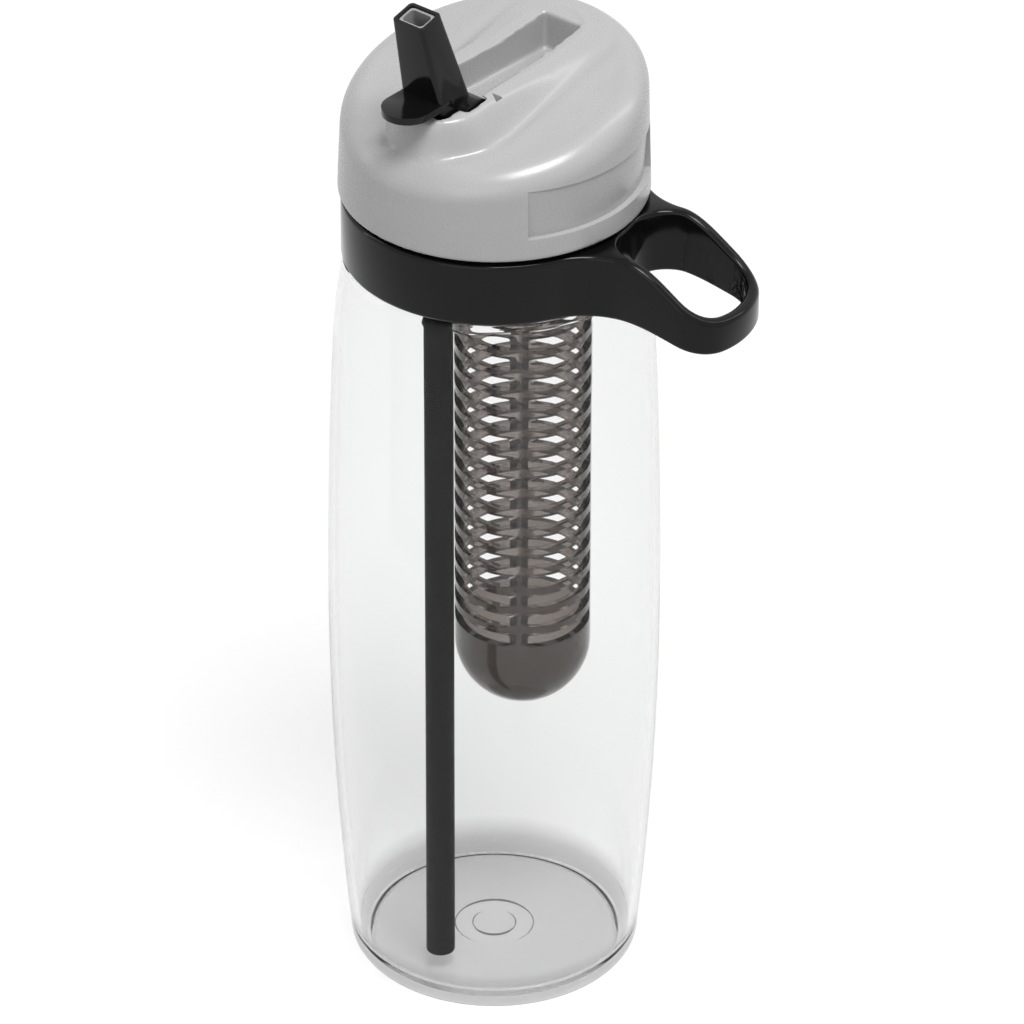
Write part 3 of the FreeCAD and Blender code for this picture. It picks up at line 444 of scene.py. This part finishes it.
def makeLid():
    y, z = spout["pivotY"], spout["pivotZ"]
    half = lid["crownRadius"] - lid["crownRound"]
    top = lid["crown"] - lid["crownRound"]
    low, steps = lid["rim"] + lid["rimRound"], lid["sideSteps"]
    line = [(half * step / lid["rings"], lid["crown"]) for step in range(lid["rings"] + 1)]
    line += arcPoints(line[-1], (lid["crownRadius"], top), lid["crownRound"], -1, 14)
    line += [(lid["crownRadius"] + (lid["rimRadius"] - lid["crownRadius"]) * step / steps,
              top - (top - low) * step / steps) for step in range(1, steps + 1)]
    line += arcPoints(line[-1], (lid["rimRadius"] - lid["rimRound"], lid["rim"]), lid["rimRound"], -1, 4)
    line.append((0, lid["rim"]))
    shape = spunShape(line, lid["segments"])
    level = lid["rim"] + lid["slopeFrom"]
    for vert in shape.verts:
        across, along, height = vert.co / mm
        height += lid["slope"] * along * min(1.0, max(0.0, (height - level) / (top - level)))
        if vert.co.z > (top + lid["liftFrom"]) * mm:
            height += crownLift(across, along, height)
        vert.co.z = height * mm
    piece = newObject("greyLid", shape)
    carve(piece, extrudedShape(softCorners(lid["recess"]), lid["recessFloor"], lid["cutTop"]))
    carve(piece, crossBar(spout["drum"] + lid["drumGap"], spout["drumHalf"] + lid["drumGap"], y, z, 48))
    soften(piece, lid["skin"], lid["skinRounds"])
    for side in (-1, 1):
        notch = [(side * lid["notchTip"], lid["notchTipY"]), (side * lid["notchOut"], lid["notchFront"]),
                 (side * lid["notchOut"], lid["notchBack"])]
        carve(piece, extrudedShape(notch, lid["notchFloor"], lid["cutTop"]))
        grip = [(lid["gripDeep"], lid["gripLow"]), (lid["gripOut"], lid["gripLow"]),
                (lid["gripOut"], lid["gripTop"]), (lid["gripShallow"], lid["gripTop"])]
        carve(piece, spunShape(grip, 36, True, angle=radians(2 * lid["gripHalf"]),
                               start=radians((0 if side > 0 else 180) - lid["gripHalf"])))
    carve(piece, spunShape([(0, lid["boreLow"]), (lid["bore"], lid["boreLow"]), (lid["bore"], lid["land"]),
                            (0, lid["land"])], 160))
    carve(piece, hollowShape(1))
    carve(piece, hollowShape(-1))
    carve(piece, crossBar(spout["pin"] + lid["pinFit"], spout["pinEnd"] + lid["drumGap"], y, z, 32))
    seatY, airHeight = lid["seatY"], lid["airHeight"]
    carve(piece, cylinderShape(lid["seatRadius"], (0, seatY, lid["seatLow"]), (0, seatY, lid["seatTop"])))
    carve(piece, cylinderShape(lid["airRadius"], (0, 0, airHeight), (lid["airEnd"], 0, airHeight), 16))
    threaded = bmesh.new()
    threaded.from_mesh(piece.data)
    addThread(threaded, lid["bore"], -1, lid["threadHeight"], lid["threadTurns"])
    threaded.to_mesh(piece.data)
    threaded.free()
    finishPiece(piece, "lid_cap", "lid", 50.0)


band = {"bore": 34.2, "radius": 37.4, "low": 202.3, "top": 219.2, "ringSteps": 150, "boreSteps": 160,
        "reach": 70.0, "half": 15.4, "wall": 3.0, "corner": 10.8, "endArc": 25.0, "rootArc": 18.0,
        "holeRound": 9.0, "level": 6.6, "topDrop": 13.4, "lowDrop": 4.9, "turn": 10.4, "spacing": 0.8,
        "round": 1.2, "roundSteps": 5, "sharpFrom": 50.0, "boreKept": 0.5}


def fallAlong(x, drop):
    # the loop leaves the ring level, dips and levels out again
    start = band["radius"] + band["level"]
    return drop * eased((x - start) / (band["reach"] - start))


def loopOutline(half, reach, corner, endArc):
    # the loop's far end from its right side round to its left, in plan
    cornerY = half - corner
    endX = reach - endArc
    cornerX = endX + sqrt((endArc - corner) ** 2 - cornerY ** 2)
    share = endArc / (endArc - corner)
    tangent = (endX + (cornerX - endX) * share, cornerY * share)
    line = [(cornerX, -half)]
    line += arcPoints(line[-1], (tangent[0], -tangent[1]), corner, 1, 10)
    line += arcPoints(line[-1], tangent, endArc, 1, 20)
    line += arcPoints(line[-1], (cornerX, half), corner, 1, 10)
    return line


def spaced(points, step):
    # adds points to long straight runs of a closed outline
    line = []
    for first, last in zip(points, points[1:] + points[:1]):
        run = Vector(last) - Vector(first)
        count = max(1, round(run.length / step))
        line += [tuple(Vector(first) + run * (part / count)) for part in range(count)]
    return line


def ringTouch(half, arc):
    # where an arc beside the loop is tangent to the ring, and where it runs out into the loop's side
    ring = band["radius"]
    waistX = sqrt((ring + arc) ** 2 - half ** 2)
    share = ring / (ring + arc)
    return (waistX * share, half * share), waistX


def makeBand():
    b = band
    rootArc, holeRound = b["rootArc"], b["holeRound"]
    # the flare touches the ring where the two circles meet tangentially
    touch, waistX = ringTouch(b["half"] + rootArc, rootArc)
    outer = [(touch[0], -touch[1])]
    outer += arcPoints(outer[-1], (waistX, -b["half"]), rootArc, -1, 20)
    outer += loopOutline(b["half"], b["reach"], b["corner"], b["endArc"])
    outer.append((waistX, b["half"]))
    outer += arcPoints(outer[-1], touch, rootArc, -1, 20)
    start = atan2(touch[1], touch[0])
    turns = [start + (2 * pi - 2 * start) * step / b["ringSteps"] for step in range(1, b["ringSteps"])]
    outer += [(b["radius"] * cos(turn), b["radius"] * sin(turn)) for turn in turns]
    inner = b["half"] - b["wall"]
    touch, waistX = ringTouch(inner - holeRound, holeRound)
    hole = [(touch[0], -touch[1])]
    hole += arcPoints(hole[-1], (waistX, -inner), holeRound, 1, 12)
    hole += loopOutline(inner, b["reach"] - b["wall"], b["corner"] - b["wall"], b["endArc"] - b["wall"])
    hole.append((waistX, inner))
    hole += arcPoints(hole[-1], touch, holeRound, 1, 12)
    hole += arcPoints(hole[-1], hole[0], b["radius"], -1, 8)[:-1]
    turns = [2 * pi * step / b["boreSteps"] for step in range(b["boreSteps"])]
    bore = [(b["bore"] * cos(turn), b["bore"] * sin(turn)) for turn in turns]
    shape = bmesh.new()
    rims = []
    for outline in (spaced(outer, b["spacing"]), spaced(hole, b["spacing"]), bore):
        rims += wireLine(shape, [(x * mm, y * mm, b["low"] * mm) for x, y in outline], True)[1]
    bmesh.ops.triangle_fill(shape, edges=rims, use_beauty=True, use_dissolve=False)
    made = bmesh.ops.extrude_face_region(shape, geom=shape.faces[:])
    raised = {vert for vert in made["geom"] if isinstance(vert, bmesh.types.BMVert)}
    for vert in shape.verts:
        level, drop = (b["top"], b["topDrop"]) if vert in raised else (b["low"], b["lowDrop"])
        vert.co.z = (level - fallAlong(vert.co.x / mm, drop)) * mm
    tidied(shape)
    edges = [edge for edge in shape.edges
             if len(edge.link_faces) == 2 and edge.calc_face_angle() > radians(b["sharpFrom"])
             and edge.verts[0].co.xy.length > (b["bore"] + b["boreKept"]) * mm]
    bmesh.ops.bevel(shape, geom=edges, offset=b["round"] * mm, offset_type="OFFSET", affect="EDGES",
                    segments=b["roundSteps"], profile=0.5, material=-1, loop_slide=False, clamp_overlap=False)
    turnUpright(shape, shape.verts[:], radians(b["turn"]))
    finishPiece(newObject("blackBand", tidied(shape)), "carry_band", "band", 40.0)


spout = {"pivotY": -17.2, "pivotZ": 249.2, "drum": 5.3, "drumHalf": 9.0, "pin": 2.2, "pinEnd": 10.6,
         "baseHalf": 6.6, "baseFront": -8.7, "baseBack": 2.7, "baseRise": 0.6,
         "mouthHalf": 4.75, "mouthDepth": 3.75, "mouthY": -11.45, "mouthZ": 29.75, "mouthTilt": 13.0,
         "corner": 1.1, "cornerLoss": 0.4, "edge": 0.32, "edgeFrom": 40.0,
         "tabRise": 5.2, "tabThick": 1.8, "tabRadius": 6.3, "tabReach": 15.0, "tabRoot": 6.0, "tabSteps": 32,
         "boreInset": 1.6, "boreMouthInset": 0.9, "boreRise": 3.0, "boreRun": 1.2,
         "port": 2.2, "portForward": 2.4, "portTop": 3.4, "portLow": 9.0}


def bladeShape(inset, mouthInset, rise, run):
    # tapering spout from its base (0) to its mouth (1); a run over 1 goes on past the mouth
    s = spout
    tilt = radians(s["mouthTilt"])
    middle, depth = (s["baseFront"] + s["baseBack"]) / 2, (s["baseBack"] - s["baseFront"]) / 2
    reach = s["mouthDepth"] - mouthInset
    shape = bmesh.new()
    bmesh.ops.create_cube(shape, size=2.0)
    for vert in shape.verts:
        right, back, top = vert.co.x, vert.co.y, vert.co.z > 0
        base = Vector((right * (s["baseHalf"] - inset), middle + back * (depth - inset), rise))
        mouth = Vector((right * (s["mouthHalf"] - mouthInset), s["mouthY"] + back * reach * cos(tilt),
                        s["mouthZ"] + back * reach * sin(tilt)))
        vert.co = base.lerp(mouth, run if top else 0)
    long = [edge for edge in shape.edges if abs(edge.verts[0].co.z - edge.verts[1].co.z) > 10]
    bmesh.ops.bevel(shape, geom=long, offset=s["corner"] - mouthInset * s["cornerLoss"], affect="EDGES",
                    segments=4, profile=0.5, material=-1)
    bmesh.ops.translate(shape, verts=shape.verts[:], vec=(0, s["pivotY"], s["pivotZ"]))
    bmesh.ops.scale(shape, verts=shape.verts[:], vec=(mm, mm, mm))
    return tidied(shape)


def makeSpout():
    s = spout
    y, z = s["pivotY"], s["pivotZ"]
    piece = newObject("blackSpout", bladeShape(0, 0, s["baseRise"], 1))
    carve(piece, crossBar(s["drum"], s["drumHalf"], y, z, 64), "UNION")
    turns = [pi + pi * step / s["tabSteps"] for step in range(s["tabSteps"] + 1)]
    tab = [(s["tabRadius"] * cos(turn), y - s["tabReach"] + s["tabRadius"] * sin(turn)) for turn in turns]
    tab += [(s["tabRadius"], y - s["tabRoot"]), (-s["tabRadius"], y - s["tabRoot"])]
    carve(piece, extrudedShape(tab, z + s["tabRise"], z + s["tabRise"] + s["tabThick"]), "UNION")
    carve(piece, bladeShape(s["boreInset"], s["boreMouthInset"], s["boreRise"], s["boreRun"]))
    portY = y - s["portForward"]
    carve(piece, cylinderShape(s["port"], (0, portY, z + s["portTop"]), (0, portY, z - s["portLow"])))
    ease = piece.modifiers.new("ease", "BEVEL")
    ease.width = s["edge"] * mm
    ease.segments = 3
    ease.limit_method = "ANGLE"
    ease.angle_limit = radians(s["edgeFrom"])
    settle(piece)
    carve(piece, crossBar(s["pin"], s["pinEnd"], y, z, 32), "UNION")
    finishPiece(piece, "flip_spout", "spout", 40.0)


straw = {"y": -21.0, "radius": 3.6, "wall": 0.9, "low": 6.0, "top": 218.0, "round": 0.3,
         "sleeve": 4.4, "sleeveBore": 3.65, "sleeveLow": 200.0, "sleeveTop": 236.6, "stem": 3.35,
         "boreRound": 0.2, "stepRound": 0.1, "segments": 64}


def makeStraw():
    s = straw
    inner = s["radius"] - s["wall"]
    tube = softCorners([(inner, s["low"], s["round"]), (s["radius"], s["low"], s["round"]),
                        (s["radius"], s["top"], s["round"]), (inner, s["top"], s["round"])], 3)
    finishPiece(newObject("blackStraw", spunShape(tube, s["segments"], True, y=s["y"])), "straw", "lid")
    cuff = softCorners([(s["sleeveBore"], s["sleeveLow"], s["boreRound"]),
                        (s["sleeve"], s["sleeveLow"], s["round"]),
                        (s["sleeve"], s["sleeveTop"], s["round"]),
                        (s["stem"], s["sleeveTop"], s["boreRound"]),
                        (s["stem"], s["top"], s["stepRound"]),
                        (s["sleeveBore"], s["top"], s["stepRound"])], 3)
    finishPiece(newObject("strawSleeve", spunShape(cuff, s["segments"], True, y=s["y"])), "straw_sleeve", "lid")


basket = {"y": 11.1, "low": 68.1, "top": 236.0, "radius": 17.1, "wall": 1.8, "turn": -8.5,
          "rimRound": 0.45, "rimOut": 0.5, "rimIn": 2.0, "sideSteps": 6, "segments": 144,
          "slotLow": 92.0, "slotPitch": 5.75, "slotHigh": 3.5, "slotHalf": 10.4, "slotDeep": 12.0,
          "slotRound": 0.7, "rows": 18, "columns": 4,
          "lugLow": 226.0, "lugHigh": 2.0, "lugIn": 0.9, "lugOut": 18.2, "lugHalf": 3.6}


def slotRows():
    # all the slots as one tool, a row of columns at a time, turned and set on the basket's axis
    b = basket
    slots = bmesh.new()
    size = (b["slotDeep"] * mm, 2 * b["slotHalf"] * mm, b["slotHigh"] * mm, 1)
    bmesh.ops.create_cube(slots, size=1.0, matrix=Matrix.Diagonal(size))
    ends = [edge for edge in slots.edges if abs(edge.verts[0].co.x - edge.verts[1].co.x) > mm]
    bmesh.ops.bevel(slots, geom=ends, offset=b["slotRound"] * mm, affect="EDGES", segments=3, profile=0.5,
                    material=-1)
    first = slots.verts[:] + slots.edges[:] + slots.faces[:]
    middle = b["slotLow"] + b["slotHigh"] / 2
    bmesh.ops.translate(slots, verts=slots.verts[:], vec=(b["radius"] * mm, 0, middle * mm))
    for row in range(b["rows"]):
        for column in range(b["columns"]):
            made = bmesh.ops.duplicate(slots, geom=first)["geom"]
            copied = [vert for vert in made if isinstance(vert, bmesh.types.BMVert)]
            bmesh.ops.translate(slots, verts=copied, vec=(0, 0, row * b["slotPitch"] * mm))
            turnUpright(slots, copied, 2 * pi / b["columns"] * column)
    spare = [vert for vert in first if isinstance(vert, bmesh.types.BMVert)]
    bmesh.ops.delete(slots, geom=spare, context="VERTS")
    turnUpright(slots, slots.verts[:], radians(b["turn"]))
    bmesh.ops.translate(slots, verts=slots.verts[:], vec=(0, b["y"] * mm, 0))
    return slots


def makeBasket():
    b = basket
    inner, bowl = b["radius"] - b["wall"], b["low"] + b["radius"]
    run = b["top"] - b["rimOut"] - b["low"] - b["radius"]
    line = [(0, b["low"])]
    line += arcPoints(line[-1], (b["radius"], bowl), b["radius"], 1, 28)
    line += [(b["radius"], bowl + run * step / b["sideSteps"]) for step in range(1, b["sideSteps"] + 1)]
    line += softCorners([line[-1], (b["radius"], b["top"], b["rimRound"]), (inner, b["top"], b["rimRound"]),
                         (inner, b["top"] - b["rimIn"])])[1:]
    line += [(inner, bowl)]
    line += arcPoints(line[-1], (0, b["low"] + b["wall"]), inner, -1, 24)
    piece = newObject("smokedBasket", spunShape(line, b["segments"], y=b["y"]))
    carve(piece, slotRows())
    spread = 2 * asin(b["lugHalf"] / b["lugOut"])
    lugTop = b["lugLow"] + b["lugHigh"]
    lug = [(inner + b["lugIn"], b["lugLow"]), (b["lugOut"], b["lugLow"]), (b["lugOut"], lugTop),
           (inner + b["lugIn"], lugTop)]
    for side in (0, 1):
        carve(piece, spunShape(lug, 12, True, y=b["y"], angle=spread, start=pi * side - spread / 2), "UNION")
    finishPiece(piece, "infuser_basket", "infuser", 30.0)


makeBottle()
makeLid()
makeBand()
makeSpout()
makeStraw()
makeBasket()


# camera at the photograph's angle, from a fit to its ellipses and edges
view = {"azimuth": 40.0, "elevation": 32.27, "distance": 2.2, "targetHeight": 0.125,
        "focal": 8857.0, "targetPixel": (494.3, 516.6), "side": 1024.0, "sensor": 36.0}
studio = {"floorSide": 6.0, "floorTone": 0.50, "floorLift": 0.58, "farLift": 0.88, "liftFrom": 0.25,
          "liftTo": 1.5, "roomLight": 0.36, "lampTarget": 0.13}
lamps = {  # name: azimuth, elevation, distance, width, height, power
    "keyBox": (60.0, 68.0, 1.3, 0.5, 0.4, 12.0),
    "frontFill": (20.0, 25.0, 1.5, 1.0, 0.8, 2.4),
    "leftStrip": (-62.0, 24.0, 1.2, 0.06, 0.9, 0.9),
    "backStrip": (150.0, 50.0, 1.2, 0.08, 0.9, 1.8),
}


def aimedAt(height, azimuth, elevation, distance):
    # place that looks at a point on the bottle's axis
    a, e = radians(azimuth), radians(elevation)
    away = Vector((sin(a) * cos(e), -cos(a) * cos(e), sin(e)))
    return (Matrix.Translation(away * distance + Vector((0, 0, height)))
            @ away.to_track_quat("Z", "Y").to_matrix().to_4x4())


def setCamera():
    data = bpy.data.cameras.new("photoCamera")
    data.sensor_width = view["sensor"]
    data.lens = view["focal"] * view["sensor"] / view["side"]
    data.shift_x = 0.5 - view["targetPixel"][0] / view["side"]
    data.shift_y = view["targetPixel"][1] / view["side"] - 0.5
    data.clip_end = 20.0
    camera = bpy.data.objects.new("photoCamera", data)
    camera.matrix_world = aimedAt(view["targetHeight"], view["azimuth"], view["elevation"], view["distance"])
    scene.collection.objects.link(camera)
    scene.camera = camera


def whiteRays(finish):
    # 1 where the camera, a reflection or a clear wall looks, 0 for light that falls on the object
    seen = finish.node("LightPath", out=0)
    glossy = finish.node("LightPath", out=3)
    through = finish.node("LightPath", out=6)
    either = finish.node("Math", {"operation": "MAXIMUM"}, {0: seen, 1: through})
    return finish.node("Math", {"operation": "MAXIMUM"}, {0: either, 1: glossy})


def lightStudio():
    for name, (azimuth, elevation, distance, width, height, power) in lamps.items():
        data = bpy.data.lights.new(name, "AREA")
        data.shape = "RECTANGLE"
        data.size, data.size_y = width, height
        data.energy = power
        lamp = bpy.data.objects.new(name, data)
        lamp.matrix_world = aimedAt(studio["lampTarget"], azimuth, elevation, distance)
        scene.collection.objects.link(lamp)
    world = bpy.data.worlds.new("studio")
    scene.world = world
    world.use_nodes = True
    finish = Finish(world.node_tree)
    level = studio["roomLight"] + whiteRays(finish) * (1.0 - studio["roomLight"])
    finish.node("OutputWorld", None, {"Surface": finish.node("Background", None, {
        "Color": grey(1.0), "Strength": level})})


def layFloor():
    shape = bmesh.new()
    bmesh.ops.create_grid(shape, x_segments=1, y_segments=1, size=studio["floorSide"] / 2)
    floor = newObject("floor", shape)
    material, finish = newMaterial("paleFloor")
    paper = finish.node("BsdfDiffuse", None, {"Color": grey(studio["floorTone"])})
    # the lamps fade away from the object, so the floor is lifted more there
    place = finish.node("TexCoord", out=3)
    distance = finish.node("VectorMath", {"operation": "LENGTH"}, {0: place}, 1)
    away = finish.node("MapRange", None, {
        "Value": distance, "From Min": studio["liftFrom"], "From Max": studio["liftTo"],
        "To Min": studio["floorLift"], "To Max": studio["farLift"]})
    lift = finish.node("Emission", None, {"Color": grey(1.0), "Strength": whiteRays(finish) * away})
    finish.surface(finish.node("AddShader", None, {0: paper, 1: lift}))
    floor.data.materials.append(material)


setCamera()
lightStudio()
layFloor()
print("studio set")
